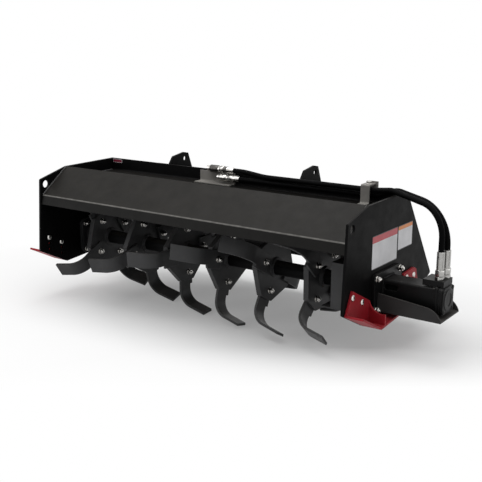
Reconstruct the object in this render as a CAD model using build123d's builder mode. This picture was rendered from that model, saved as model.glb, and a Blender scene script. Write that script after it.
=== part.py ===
# Rotary tiller for a skid-steer loader, with a hydraulic motor at its right end.
# Millimetres. X runs along the rotor towards the motor, Y from the open front
# back to the loader, Z up. Pieces are drawn from the left side plate's inner
# face (x), the side plates' front foot (y) and that foot's height (z). save()
# then moves them so that the origin lies on the loader plate's rear face.
import os
from math import cos, radians, sin

from build123d import *

# Working width and side plates
work_width = 1524
side_wall = 10
front_top = (22, 322)
ridge = (177, 362)
back_top = (488, 365)
back_foot = (749, -14)
back_chamfer = (713, -29)
low_point = (154, -78)
side_corner = 8
lift_hole = (52, 298)
lift_hole_r = 17
adjust_columns = [(55, 54), (127, 20)]
adjust_rows = 3
adjust_pitch = 27
adjust_hole_r = 7
hub_hole_gap = 8

# Hood, trough and rear plate
sheet = 6
bend_r = 9
lip_foot = (20, 212)
lip_bend = (30, 253)
ridge_step = 2
trough_floor_z = 308
trough_back_y = 478
rear_drop = 4

# Rotor
axis_y = 325
axis_z = 23
flange_count = 6
first_flange_x = 97
last_flange_gap = 272
flange_side = 247
flange_flat = 134
flange_wall = 22
first_turn = 74.2
flange_step = -14.7
tube_r = 30
tube_gap = 18
journal_r = 25
journal_fit = 0.05
journal_inset = 2
ring_r = 39
ring_length = 8

# Tines
tine_radius = 267
tine_reach_right = 134
tine_reach_left = 123
tine_wall = 10
tine_width = 64
tine_bend = 76
tine_bend_r = 74
tine_root = 74
tine_head = 78
tine_head_end = 160
tine_cut = 8
tine_pocket_gap = 1

# Bearings and the guard round the drive hub
bearing_side = 164
bearing_corner = 30
bearing_wall = 18
bearing_boss_r = 56
bearing_length = 44
guard_half = 92
guard_wall = 5
guard_length = 170
guard_shelf = 42

# Motor, its housing and its guard tray
mount_width = 226
mount_height = 152
mount_wall = 12
mount_corner = 22
housing_side = 94
housing_wall = 6
housing_corner = 8
housing_length = 196
window_length = 52
window_height = 22
window_start = 8.5
window_rise = 21.5
end_flange = 8
end_flange_side = 100
motor_side = 104
motor_corner = 22
motor_length = 18
motor_neck = 10
motor_neck_side = 84
motor_cap = 4
motor_cap_r = 38
coupling_r = 36
coupling_start = 16
coupling_length = 86
output_r = 16
shaft_gap = 6
block_lead = 62
block_length = 80
block_width = 80
block_rise = 22
tray_half = 85
tray_rise = 70
tray_fall = 20
tray_wall = 5
tray_bottom_z = -43
tray_length = 246
tray_cut = 54

# Hydraulic hoses, fittings and couplers
hose_r = 10.5
port_lead = 10
port_stagger = 7
port_spacing = 39
adapter_flats = 30
adapter_rise = 16
nut_flats = 32
nut_rise = 22
collar_r = 14
collar_rise = 56
hose_straight = 55
hose_drift = 160
hose_drift_point = (452, 362)
hose_drift_r = 400
hose_lift_lead = 14
hose_rise_r = 80
pressure_clamped = (442, 364)
pressure_crest_inset = 8.5
pressure_crest = (386, 382.5)
pressure_drop_z = 346
pressure_drop_r = 113
return_clamped = (456, 341)
return_crest_inset = 0
return_crest = (417.5, 379)
return_drop_z = 343.5
return_drop_r = 149
coupler_r = 16.5
coupler_lead = 103
coupler_length = 142
coupler_upper_y = 455
coupler_upper_z = 374
coupler_lower_lead = 45
coupler_lower_length = 116
coupler_lower_y = 452
coupler_lower_z = 340
coupler_steps = [(0.1, 0.78), (0.45, 1.0), (0.06, 0.84), (0.27, 0.96), (0.12, 0.8)]
shelf_lead = 160
shelf_width = 190
shelf_y = 430
shelf_wall = 5
shelf_rise = 50
clamp_inset = 158
clamp_width = 38
clamp_y = 424
clamp_rise = 77
clamp_wall = 5
clamp_foot = 24
clamp_bar_lead = 7
clamp_bar_length = 39
clamp_bar_rise = 27

# Loader plate, its gussets, hook and lock bar
loader_offset = 61
loader_width = 1143
loader_height = 387
loader_wall = 9.5
loader_lean = 20
loader_top = (654, 320)
cheek_depth = 46
cheek_wall = 8
cheek_lead = 40
hook_reach = 34
hook_drop = 26
hook_wall = 10
hook_step = 6
lock_bar_depth = 50
lock_bar_wall = 12
lock_slot = (70, 30)
lock_slot_spacing = 840
gusset_spacing = 708
gusset_wall = 10
gusset_front = (514, 396)
gusset_peak = (592, 408)
gusset_back = (622, 402)
gusset_hole = (598, 378)
gusset_hole_r = 11
gusset_foot_z = -8

# Skid shoes
skid_wall = 8
skid_reach = 74
skid_bracket = 95
skid_bracket_length = 151
skid_foot_end = 326
skid_inset = 11
skid_web_rise = 42
skid_web_r = 54
skid_rear = (455, 628)
skid_rear_reach = 60
skid_tab = [(469, 44), (562, 51), (584, 41), (600, 0)]

right_wall_x = work_width + side_wall
loader_centre_x = work_width / 2 - loader_offset
coupler_x = loader_centre_x - coupler_lead
coupler_upper = (coupler_x, coupler_x + coupler_length, coupler_upper_y, coupler_upper_z)
lower_x = loader_centre_x - coupler_lower_lead
coupler_lower = (lower_x, lower_x + coupler_lower_length, coupler_lower_y, coupler_lower_z)
shelf_x = loader_centre_x - shelf_lead
clamp_x = work_width - clamp_inset
motor_mount_x = right_wall_x + mount_wall
motor_x = motor_mount_x + housing_length + end_flange
port_x = motor_x + port_lead
port_back = (port_x, axis_y + port_spacing / 2)
port_front = (port_x - port_stagger, axis_y - port_spacing / 2)
port_z = axis_z + motor_side / 2 + block_rise
hose_foot_z = port_z + adapter_rise + nut_rise + collar_rise

# The loader plate leans: its top edge is further forward than its foot.
lean = radians(loader_lean)
plate_down = Vector(0, sin(lean), -cos(lean))
plate_back = Vector(0, cos(lean), sin(lean))
plate_top = Vector(loader_centre_x, *loader_top)
origin = plate_top + plate_down * (loader_height / 2) + plate_back * loader_wall

os.makedirs("parts", exist_ok=True)


def save(piece, name):
    """Moves a piece into the tiller's own frame and writes it."""
    placed = piece.moved(Location(-origin))
    placed.label = name
    export_step(placed, f"parts/{name}.step")


def along(start, end, distance):
    """The point at a distance from start, towards end, in a side view."""
    run = Vector(*end) - Vector(*start)
    return Vector(*start) + run.normalized() * distance


def at_height(start, end, z):
    """The point of a sloping line that lies at height z, in a side view."""
    share = (z - start[1]) / (end[1] - start[1])
    return Vector(*start) + (Vector(*end) - Vector(*start)) * share


def bent_sheet(points, wall, start_x, end_x, radius, side=Side.RIGHT):
    """A sheet bent along X: its outer face follows the points in side view."""
    with BuildPart() as piece:
        with BuildSketch(Plane.YZ.offset(start_x)):
            with BuildLine():
                if len(points) > 2:
                    FilletPolyline(*points, radius=radius)
                else:
                    Polyline(*points)
                offset(amount=wall, side=side)
            make_face()
        extrude(amount=end_x - start_x)
    return piece.part


# Side plates

side_outline = [(0, 0), front_top, ridge, back_top, back_foot, back_chamfer, low_point]


def side_plate(outer_x):
    """One side plate, from its left face to the right."""
    with BuildPart() as plate:
        with BuildSketch(Plane.YZ.offset(outer_x)) as outline:
            with BuildLine():
                Polyline(*side_outline, close=True)
            make_face()
            fillet(outline.vertices(), side_corner)
            with Locations(lift_hole):
                Circle(lift_hole_r, mode=Mode.SUBTRACT)
            with Locations((axis_y, axis_z)):
                Circle(journal_r + hub_hole_gap, mode=Mode.SUBTRACT)
            for column_y, top_z in adjust_columns:
                for row in range(adjust_rows):
                    with Locations((column_y, top_z - adjust_pitch * row)):
                        Circle(adjust_hole_r, mode=Mode.SUBTRACT)
        extrude(amount=side_wall)
    return plate.part


save(side_plate(-side_wall), "side_plate_left")
save(side_plate(work_width), "side_plate_right")

# Hood, trough and rear plate

hood = bent_sheet([lip_foot, lip_bend, ridge], sheet, 0, work_width, bend_r)
save(hood, "hood")

hood_slope = (Vector(*ridge) - Vector(*lip_bend)).normalized()
trough_front_y = ridge[0] + sheet * hood_slope.Y + sheet
trough_line = [
    (trough_front_y, ridge[1] - ridge_step),
    (trough_front_y, trough_floor_z),
    (trough_back_y, trough_floor_z),
    (trough_back_y, back_top[1]),
]
trough = bent_sheet(trough_line, sheet, 0, work_width, bend_r)
save(trough, "trough")

# The rear plate's inner top edge meets the trough's back wall.
back_length = (Vector(*back_foot) - Vector(*back_top)).length
back_slope = (Vector(*back_foot) - Vector(*back_top)).normalized()
rear_start = (trough_back_y + sheet - sheet * back_slope.Y - back_top[0]) / back_slope.X
rear_line = [
    along(back_top, back_foot, rear_start),
    along(back_top, back_foot, back_length - rear_drop),
]
save(bent_sheet(rear_line, sheet, 0, work_width, bend_r), "rear_plate")

# Rotor: one shaft, flanges in a helix, four tines on each


def flange_start(index):
    return first_flange_x + flange_pitch * index


flange_pitch = (work_width - last_flange_gap - first_flange_x) / (flange_count - 1)
tube_start = bearing_length + tube_gap
tube_end = work_width - guard_length / 2 + 1
coupling_x = motor_mount_x + coupling_start
with BuildPart() as rotor_shaft:
    shaft_steps = [
        (journal_inset - side_wall, tube_start, journal_r),
        (tube_start, tube_end, tube_r),
        (tube_end, coupling_x, journal_r),
        (coupling_x, coupling_x + coupling_length, coupling_r),
    ]
    for start_x, end_x, radius in shaft_steps:
        with BuildSketch(Plane.YZ.offset(start_x)):
            with Locations((axis_y, axis_z)):
                Circle(radius)
        extrude(amount=end_x - start_x)
save(rotor_shaft.part, "rotor_shaft")

for index in range(flange_count):
    turn = first_turn + flange_step * index
    with BuildPart() as flange:
        with BuildSketch(Plane.YZ.offset(flange_start(index))):
            with Locations(Location((axis_y, axis_z, 0), (0, 0, turn))):
                Rectangle(flange_side, flange_side)
                Rectangle(2 * flange_flat, 2 * flange_flat, rotation=45, mode=Mode.INTERSECT)
                Circle(tube_r, mode=Mode.SUBTRACT)
        extrude(amount=flange_wall)
        # Two tines are let into the left face, so it has two pockets.
        with BuildSketch(Plane.YZ.offset(flange_start(index))):
            for half_turn in (0, 180):
                with Locations(Location((axis_y, axis_z, 0), (0, 0, 225 + turn + half_turn))):
                    with Locations((tine_root - tine_pocket_gap, -tine_width / 2 - tine_pocket_gap)):
                        Rectangle(
                            flange_side,
                            tine_head + 2 * tine_pocket_gap,
                            align=(Align.MIN, Align.MIN),
                        )
        extrude(amount=tine_wall, mode=Mode.SUBTRACT)
        with BuildSketch(Plane.YZ.offset(flange_start(index) + flange_wall)):
            with Locations((axis_y, axis_z)):
                Circle(ring_r)
                Circle(tube_r, mode=Mode.SUBTRACT)
        extrude(amount=ring_length)
    save(flange.part, f"flange_{index + 1}")


def tine_shape(reach):
    """A tine that stands along Y with its back on the YZ plane and bends to the right."""
    bend = radians(tine_bend)
    corner_y = tine_radius - reach * cos(bend) / sin(bend)
    with BuildPart() as tine:
        with BuildSketch(Plane.XY):
            with BuildLine():
                FilletPolyline(
                    (0, tine_root),
                    (0, corner_y),
                    (reach, tine_radius),
                    radius=tine_bend_r,
                )
                offset(amount=tine_wall, side=Side.RIGHT)
            make_face()
        extrude(amount=tine_width / 2, both=True)
        with BuildSketch(Plane.YZ):
            with Locations((tine_root, -tine_width / 2)):
                Rectangle(tine_head_end - tine_root, tine_head, align=(Align.MIN, Align.MIN))
        extrude(amount=tine_wall)
        with BuildSketch(Plane.XZ.offset(-2 * tine_radius)):
            with BuildLine():
                Polyline(
                    (reach - tine_cut, tine_width),
                    (reach + tine_wall, tine_width),
                    (reach + tine_wall, -tine_width / 2),
                    (reach, -tine_width / 2),
                    close=True,
                )
            make_face()
        extrude(amount=2 * tine_radius, mode=Mode.SUBTRACT)
    return tine.part


# Tines that bend right lie in the pockets, tines that bend left on the flange's right face
tine_right = tine_shape(tine_reach_right)
tine_left = mirror(tine_shape(tine_reach_left), Plane.YZ)
for index in range(flange_count):
    turn = first_turn + flange_step * index
    with BuildPart() as tines:
        for quarter in range(4):
            angle = 225 + turn + 90 * quarter
            shape = tine_left if quarter % 2 else tine_right
            back_x = flange_start(index)
            if quarter % 2:
                back_x += flange_wall + tine_wall
            with Locations(Location((back_x, axis_y, axis_z), (angle, 0, 0))):
                add(shape)
    save(tines.part, f"tines_{index + 1}")

# Bearings, one on each side plate's inner face


def bearing(wall_x, inward):
    """A flanged bearing that stands inward from a side plate."""
    with BuildPart() as unit:
        with BuildSketch(Plane.YZ.offset(wall_x)):
            with Locations((axis_y, axis_z)):
                RectangleRounded(bearing_side, bearing_side, bearing_corner)
        extrude(amount=inward * bearing_wall)
        with BuildSketch(Plane.YZ.offset(wall_x)):
            with Locations((axis_y, axis_z)):
                Circle(bearing_boss_r)
        extrude(amount=inward * bearing_length)
        with BuildSketch(Plane.YZ.offset(wall_x)):
            with Locations((axis_y, axis_z)):
                Circle(journal_r + journal_fit)
        extrude(amount=inward * bearing_length, mode=Mode.SUBTRACT)
    return unit.part


save(bearing(0, 1), "bearing_left")
save(bearing(work_width, -1), "bearing_right")

# Square guard round the drive hub, with a longer floor

guard_x = work_width - guard_length
with BuildPart() as hub_guard:
    with BuildSketch(Plane.YZ.offset(guard_x)):
        with Locations((axis_y, axis_z)):
            Rectangle(2 * guard_half, 2 * guard_half)
            Rectangle(
                2 * (guard_half - guard_wall), 2 * (guard_half - guard_wall), mode=Mode.SUBTRACT
            )
    extrude(amount=guard_length)
    with BuildSketch(Plane.YZ.offset(guard_x)):
        with Locations((axis_y, axis_z - guard_half)):
            Rectangle(2 * guard_half, guard_wall, align=(Align.CENTER, Align.MIN))
    extrude(amount=-guard_shelf)
save(hub_guard.part, "hub_guard")

# Motor housing: a flange on the side plate, a square tube and an end flange

with BuildPart() as motor_housing:
    with BuildSketch(Plane.YZ.offset(right_wall_x)):
        with Locations((axis_y, axis_z)):
            RectangleRounded(mount_width, mount_height, mount_corner)
            Circle(journal_r + hub_hole_gap, mode=Mode.SUBTRACT)
    extrude(amount=mount_wall)
    with BuildSketch(Plane.YZ.offset(motor_mount_x)):
        with Locations((axis_y, axis_z)):
            RectangleRounded(housing_side, housing_side, housing_corner)
            Rectangle(
                housing_side - 2 * housing_wall,
                housing_side - 2 * housing_wall,
                mode=Mode.SUBTRACT,
            )
    extrude(amount=housing_length)
    with BuildSketch(Plane.YZ.offset(motor_mount_x + housing_length)):
        with Locations((axis_y, axis_z)):
            RectangleRounded(end_flange_side, end_flange_side, housing_corner)
            Circle(output_r + hub_hole_gap, mode=Mode.SUBTRACT)
    extrude(amount=end_flange)
    window_x = motor_mount_x + window_start + window_length / 2
    with BuildSketch(Plane.XZ.offset(-axis_y)):
        with Locations((window_x, axis_z + window_rise)):
            RectangleRounded(window_length, window_height, housing_wall)
    extrude(amount=housing_side, mode=Mode.SUBTRACT)
save(motor_housing.part, "motor_housing")

# Motor, with its output shaft and its port block

with BuildPart() as motor:
    with BuildSketch(Plane.YZ.offset(motor_x)):
        with Locations((axis_y, axis_z)):
            RectangleRounded(motor_neck_side, motor_neck_side, motor_corner)
    extrude(amount=motor_neck)
    with BuildSketch(Plane.YZ.offset(motor_x + motor_neck)):
        with Locations((axis_y, axis_z)):
            RectangleRounded(motor_side, motor_side, motor_corner)
    extrude(amount=motor_length)
    with BuildSketch(Plane.YZ.offset(motor_x + motor_neck + motor_length)):
        with Locations((axis_y, axis_z)):
            Circle(motor_cap_r)
    extrude(amount=motor_cap)
    output_start = coupling_x + coupling_length + shaft_gap
    with BuildSketch(Plane.YZ.offset(output_start)):
        with Locations((axis_y, axis_z)):
            Circle(output_r)
    extrude(amount=motor_x - output_start)
    with BuildSketch(Plane.XY.offset(axis_z + motor_side / 2)):
        with Locations((motor_x + motor_neck - block_lead, axis_y)):
            Rectangle(block_length, block_width, align=(Align.MIN, Align.CENTER))
    extrude(amount=block_rise)
save(motor.part, "motor")

# Guard tray under the motor: a channel whose walls are cut away at their end

with BuildPart() as motor_guard:
    with BuildSketch(Plane.YZ.offset(motor_mount_x)):
        with BuildLine():
            Polyline(
                (axis_y - tray_half, tray_bottom_z + tray_rise),
                (axis_y - tray_half, tray_bottom_z),
                (axis_y + tray_half, tray_bottom_z),
                (axis_y + tray_half, tray_bottom_z + tray_rise),
            )
            offset(amount=tray_wall, side=Side.LEFT)
        make_face()
    extrude(amount=tray_length)
    tray_end_x = motor_mount_x + tray_length
    tray_top_z = tray_bottom_z + tray_rise
    with BuildSketch(Plane.XZ.offset(-axis_y)):
        with BuildLine():
            Line((motor_mount_x, tray_top_z), (tray_end_x - tray_cut, tray_top_z - tray_fall))
            arc_start = (tray_end_x - tray_cut, tray_top_z - tray_fall)
            RadiusArc(arc_start, (tray_end_x, tray_bottom_z + tray_wall), tray_cut * 1.25)
            Line((tray_end_x, tray_bottom_z + tray_wall), (tray_end_x, tray_top_z))
            Line((tray_end_x, tray_top_z), (motor_mount_x, tray_top_z))
        make_face()
    extrude(amount=2 * tray_half, both=True, mode=Mode.SUBTRACT)
save(motor_guard.part, "motor_guard")

# Port adapters and the hoses' lower ends

ports = [port_back, port_front]
with BuildPart() as port_adapters:
    with BuildSketch(Plane.XY.offset(port_z)):
        with Locations(*ports):
            RegularPolygon(adapter_flats / 2, 6, major_radius=False)
    extrude(amount=adapter_rise)
save(port_adapters.part, "port_adapters")

with BuildPart() as hose_ends:
    with BuildSketch(Plane.XY.offset(port_z + adapter_rise)):
        with Locations(*ports):
            RegularPolygon(nut_flats / 2, 6, major_radius=False, rotation=30)
    extrude(amount=nut_rise)
    with BuildSketch(Plane.XY.offset(port_z + adapter_rise + nut_rise)):
        with Locations(*ports):
            Circle(collar_r)
    extrude(amount=collar_rise)
save(hose_ends.part, "hose_ends")

# Couplers, in line with X at the middle of the trough


def coupler(start_x, end_x, y, z):
    """A quick coupler of stepped rings, its nose to the left."""
    with BuildPart() as body:
        ring_x = start_x
        for share, width in coupler_steps:
            with BuildSketch(Plane.YZ.offset(ring_x)):
                with Locations((y, z)):
                    Circle(coupler_r * width)
            ring = share * (end_x - start_x)
            extrude(amount=ring)
            ring_x += ring
    return body.part


save(coupler(*coupler_upper), "coupler_upper")
save(coupler(*coupler_lower), "coupler_lower")

# Hoses: from the couplers along the trough, over the side plate, down to the ports


def hose(points, radii):
    """A hose of even thickness along points in space."""
    with BuildPart() as tube:
        with BuildLine():
            route = FilletPolyline(*points, radius=radii)
        with BuildSketch(Plane(route @ 0, z_dir=route % 0)):
            Circle(hose_r)
        sweep()
    return tube.part


lift_x = clamp_x + clamp_width + hose_lift_lead
pressure_route = [
    coupler_upper[1:],
    (coupler_upper[1] + hose_straight, *coupler_upper[2:]),
    (coupler_upper[1] + hose_drift, *hose_drift_point),
    (lift_x, *pressure_clamped),
    (work_width - pressure_crest_inset, *pressure_crest),
    (*port_front, pressure_drop_z),
    (*port_front, hose_foot_z),
]
return_route = [
    coupler_lower[1:],
    (coupler_lower[1] + hose_straight, *coupler_lower[2:]),
    (lift_x, *return_clamped),
    (work_width - return_crest_inset, *return_crest),
    (*port_back, return_drop_z),
    (*port_back, hose_foot_z),
]
rise = [hose_rise_r, hose_rise_r]
pressure_radii = [hose_drift_r, hose_drift_r, *rise, pressure_drop_r]
save(hose(pressure_route, pressure_radii), "hose_pressure")
save(hose(return_route, [hose_drift_r, *rise, return_drop_r]), "hose_return")

# Coupler shelf and hose clamp, bent from strip

shelf_line = [
    (trough_back_y, trough_floor_z + shelf_rise),
    (trough_back_y, trough_floor_z),
    (shelf_y, trough_floor_z),
]
shelf = bent_sheet(shelf_line, shelf_wall, shelf_x, shelf_x + shelf_width, bend_r)
save(shelf, "coupler_shelf")

clamp_top_z = trough_floor_z + clamp_rise
clamp_line = [
    (clamp_y - clamp_foot, trough_floor_z + clamp_wall),
    (clamp_y, trough_floor_z + clamp_wall),
    (clamp_y, clamp_top_z),
    (trough_back_y + sheet, clamp_top_z),
    (trough_back_y + sheet, back_top[1]),
]
with BuildPart() as hose_clamp:
    add(bent_sheet(clamp_line, clamp_wall, clamp_x, clamp_x + clamp_width, clamp_wall + 1))
    with BuildSketch(Plane.XY.offset(back_top[1])):
        with Locations((clamp_x + clamp_bar_lead, trough_back_y)):
            Rectangle(clamp_bar_length, sheet, align=(Align.MIN, Align.MIN))
    extrude(amount=clamp_bar_rise)
save(hose_clamp.part, "hose_clamp")

# Loader plate, drawn on its leaning front face: x across, y down

face = Plane(plate_top, x_dir=(1, 0, 0), z_dir=plate_back)
cheek_x = (loader_width - cheek_wall) / 2
with BuildPart() as loader_plate:
    with BuildSketch(face):
        with Locations((0, loader_height / 2)):
            Rectangle(loader_width, loader_height)
    extrude(amount=loader_wall)
    with BuildSketch(face):
        cheek_y = (loader_height + cheek_lead) / 2
        with Locations((-cheek_x, cheek_y), (cheek_x, cheek_y)):
            Rectangle(cheek_wall, loader_height - cheek_lead)
    extrude(amount=loader_wall + cheek_depth)
save(loader_plate.part, "loader_plate")


def on_plate(down, back):
    """A side-view point given down and back from the loader plate's front top edge."""
    spot = plate_top + plate_down * down + plate_back * back
    return (spot.Y, spot.Z)


hook_width = loader_width - 2 * cheek_wall
with BuildPart() as loader_hook:
    with BuildSketch(Plane.YZ.offset(loader_centre_x - hook_width / 2)):
        with BuildLine():
            Polyline(
                on_plate(0, 0),
                on_plate(0, loader_wall + hook_step),
                on_plate(hook_drop, loader_wall + hook_reach),
                on_plate(hook_drop - hook_wall, loader_wall + hook_reach),
                on_plate(-hook_wall, loader_wall / 2),
                on_plate(-hook_wall, 0),
                close=True,
            )
        make_face()
    extrude(amount=hook_width)
save(loader_hook.part, "loader_hook")

bar_plane = Plane(
    plate_top + plate_down * loader_height, x_dir=(1, 0, 0), z_dir=plate_down
)
with BuildPart() as lock_bar:
    with BuildSketch(bar_plane):
        Rectangle(loader_width, loader_wall + lock_bar_depth, align=(Align.CENTER, Align.MAX))
        slot_y = -(loader_wall + lock_bar_depth / 2)
        with Locations((-lock_slot_spacing / 2, slot_y), (lock_slot_spacing / 2, slot_y)):
            Rectangle(*lock_slot, mode=Mode.SUBTRACT)
    extrude(amount=lock_bar_wall)
save(lock_bar.part, "lock_bar")

# Gussets between the rear plate and the loader plate, their tops above the hood

plate_foot = on_plate(loader_height, 0)
gusset_line = [
    along(back_top, back_foot, rear_start),
    gusset_front,
    gusset_peak,
    gusset_back,
    loader_top,
    at_height(loader_top, plate_foot, gusset_foot_z),
    at_height(back_top, back_foot, gusset_foot_z),
]
for name, side in (("gusset_left", -1), ("gusset_right", 1)):
    centre_x = loader_centre_x + side * gusset_spacing / 2
    with BuildPart() as gusset:
        with BuildSketch(Plane.YZ.offset(centre_x - gusset_wall / 2)):
            with BuildLine():
                Polyline(*gusset_line, close=True)
            make_face()
            with Locations(gusset_hole):
                Circle(gusset_hole_r, mode=Mode.SUBTRACT)
        extrude(amount=gusset_wall)
    save(gusset.part, name)

# Skid shoes: a leg on the side plate's outer face and a foot that turns outwards

front_slope = Vector(*low_point).normalized()
bracket_up = Vector(-front_slope.Y, front_slope.X)
bracket_foot = front_slope * skid_inset
bracket_top = bracket_foot + bracket_up * skid_bracket
bracket_back = bracket_top + front_slope * skid_bracket_length
base_slope = (back_chamfer[1] - low_point[1]) / (back_chamfer[0] - low_point[0])


def on_base(y):
    """The point of the side plates' long bottom edge at y, in a side view."""
    return (y, low_point[1] + (y - low_point[0]) * base_slope)


def shoe(leg_line, foot_line, reach):
    """A flat leg and a foot along the side plate's bottom edge."""
    with BuildPart() as piece:
        with BuildSketch(Plane.YZ.offset(right_wall_x)):
            with BuildLine():
                Polyline(*leg_line, close=True)
            make_face()
        extrude(amount=skid_wall)
        foot_end_x = right_wall_x + reach
        add(bent_sheet(foot_line, skid_wall, right_wall_x, foot_end_x, skid_wall + 1, Side.LEFT))
    return piece.part


front_leg = [bracket_foot, bracket_top, bracket_back, on_base(bracket_back.X), low_point]
front_foot = [bracket_foot, low_point, on_base(skid_foot_end)]
with BuildPart() as front_shoe:
    add(shoe(front_leg, front_foot, skid_reach))
    web_y = bracket_back.X
    web_z = on_base(web_y)[1] + skid_wall / 2
    with BuildSketch(Plane.XZ.offset(-web_y)):
        with BuildLine():
            Line((right_wall_x, web_z), (right_wall_x, bracket_back.Y))
            web_start = (right_wall_x + skid_wall, bracket_back.Y)
            Line((right_wall_x, bracket_back.Y), web_start)
            web_end = (right_wall_x + skid_reach, web_z + skid_web_rise)
            RadiusArc(web_start, web_end, -skid_web_r)
            Line(web_end, (right_wall_x + skid_reach, web_z))
            Line((right_wall_x + skid_reach, web_z), (right_wall_x, web_z))
        make_face()
    extrude(amount=skid_wall)
skid_front = front_shoe.part
save(skid_front, "skid_front_right")
save(mirror(skid_front, Plane.YZ.offset(work_width / 2)), "skid_front_left")

rear_leg = [on_base(skid_rear[0]), *skid_tab, on_base(skid_rear[1])]
rear_foot = [on_base(skid_rear[0]), on_base(skid_rear[1])]
skid_back = shoe(rear_leg, rear_foot, skid_rear_reach)
save(skid_back, "skid_rear_right")
save(mirror(skid_back, Plane.YZ.offset(work_width / 2)), "skid_rear_left")
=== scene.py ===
# %% [markdown]
# A rotary tiller for a loader: a bent hood between two end plates, a reel of curved tines,
# and a hydraulic motor at the right end.
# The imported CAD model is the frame. We dress it: paint, rubber and zinc finishes,
# bolts, weld beads, turned fittings and blank label plates, then a camera and soft light.

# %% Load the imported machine
from math import atan2, cos, pi, radians, sin, sqrt

import bmesh
import bpy
from mathutils import Matrix, Vector


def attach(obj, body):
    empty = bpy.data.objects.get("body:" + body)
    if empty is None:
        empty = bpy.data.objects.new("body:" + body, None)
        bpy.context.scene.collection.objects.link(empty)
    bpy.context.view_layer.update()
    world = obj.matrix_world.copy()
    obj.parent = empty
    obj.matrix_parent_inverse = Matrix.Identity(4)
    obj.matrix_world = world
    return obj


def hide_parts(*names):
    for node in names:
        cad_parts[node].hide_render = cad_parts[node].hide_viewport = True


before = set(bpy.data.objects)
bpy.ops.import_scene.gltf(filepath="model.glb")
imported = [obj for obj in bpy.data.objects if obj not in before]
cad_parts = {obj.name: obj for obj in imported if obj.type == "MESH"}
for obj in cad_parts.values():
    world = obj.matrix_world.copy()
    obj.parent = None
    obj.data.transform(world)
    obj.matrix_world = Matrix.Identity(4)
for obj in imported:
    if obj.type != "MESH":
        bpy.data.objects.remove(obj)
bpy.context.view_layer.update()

# %% [markdown]
# Machines are measured from a corner that a fitter can touch. Here that is the foot of the
# left end plate, so every place below is given from it, in millimetres, as on a drawing.

# %% Measure from the left end plate's foot
foot = Vector((-0.701, -0.729108, -0.141419))
mm = 0.001


def spot(x, y, z):
    """A place on the drawing, turned into the frame's metres."""
    return foot + Vector((x, y, z)) * mm


work_width = 1524
wall = 10
outside_right = work_width + wall
axis_y = 325
axis_z = 23
right = Vector((1, 0, 0))
left = Vector((-1, 0, 0))
up = Vector((0, 0, 1))
print("shaft centre", spot(0, axis_y, axis_z))

# %% [markdown]
# Finishes first. Each one is a small network of nodes that reads Object coordinates, so it
# sits still on the steel. Linking nodes by hand is slow to read in code, so these helpers do
# it: one starts a material, the others add a node and give back the value that it makes.

# %% Helpers for materials


def start_material(name):
    """A new material with its node tree and its main shader."""
    material = bpy.data.materials.new(name)
    material.use_nodes = True
    tree = material.node_tree
    return material, tree, tree.nodes["Principled BSDF"]


def add_node(tree, kind, settings=(), **inputs):
    """Adds a node, sets its options, then its input values or links."""
    node = tree.nodes.new(kind)
    for name, value in settings:
        setattr(node, name, value)
    for name, value in inputs.items():
        socket = node.inputs[name.replace("_", " ")]
        if hasattr(value, "is_output"):
            tree.links.new(value, socket)
        else:
            socket.default_value = value
    return node


def noise(tree, place, scale, detail=3.0, roughness=0.5):
    """Cloudy noise on a place, as its grey value."""
    made = add_node(tree, "ShaderNodeTexNoise", Vector=place, Scale=scale, Detail=detail)
    made.inputs["Roughness"].default_value = roughness
    return made.outputs["Fac"]


def spread(tree, value, low, high, to_low, to_high):
    """Stretches a value from one range to another."""
    made = tree.nodes.new("ShaderNodeMapRange")
    tree.links.new(value, made.inputs["Value"])
    ends = {"From Min": low, "From Max": high, "To Min": to_low, "To Max": to_high}
    for name, number in ends.items():
        made.inputs[name].default_value = number
    return made.outputs["Result"]


def blend_colours(tree, share, first, second):
    """Mixes two colours by a share."""
    made = add_node(tree, "ShaderNodeMix", settings=(("data_type", "RGBA"),))
    tree.links.new(share, made.inputs["Factor"])
    for socket, value in ((made.inputs[6], first), (made.inputs[7], second)):
        if hasattr(value, "is_output"):
            tree.links.new(value, socket)
        else:
            socket.default_value = (*value, 1)
    return made.outputs[2]


def times(tree, first, second):
    """Multiplies two values."""
    made = add_node(tree, "ShaderNodeMath", settings=(("operation", "MULTIPLY"),))
    tree.links.new(first, made.inputs[0])
    if hasattr(second, "is_output"):
        tree.links.new(second, made.inputs[1])
    else:
        made.inputs[1].default_value = second
    return made.outputs["Value"]


# %% [markdown]
# Powder coat on heavy plate. Real coat isn't one colour: it is a little cloudy, it has the
# skin of an orange when you look close, it gathers grey dust where it faces up, and it is
# paler along its edges, where paint wears thin; that pale edge is also a painted highlight.
# A bevel node finds those edges and also rounds their light.
# A picture of paint would need the mesh unwrapped first; noise needs only the place in space,
# so the same few nodes serve every plate, at the same scale.

# %% Powder coat
road_dust = (0.20, 0.18, 0.155)
edge_round_radius = 2.2 * mm


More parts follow.
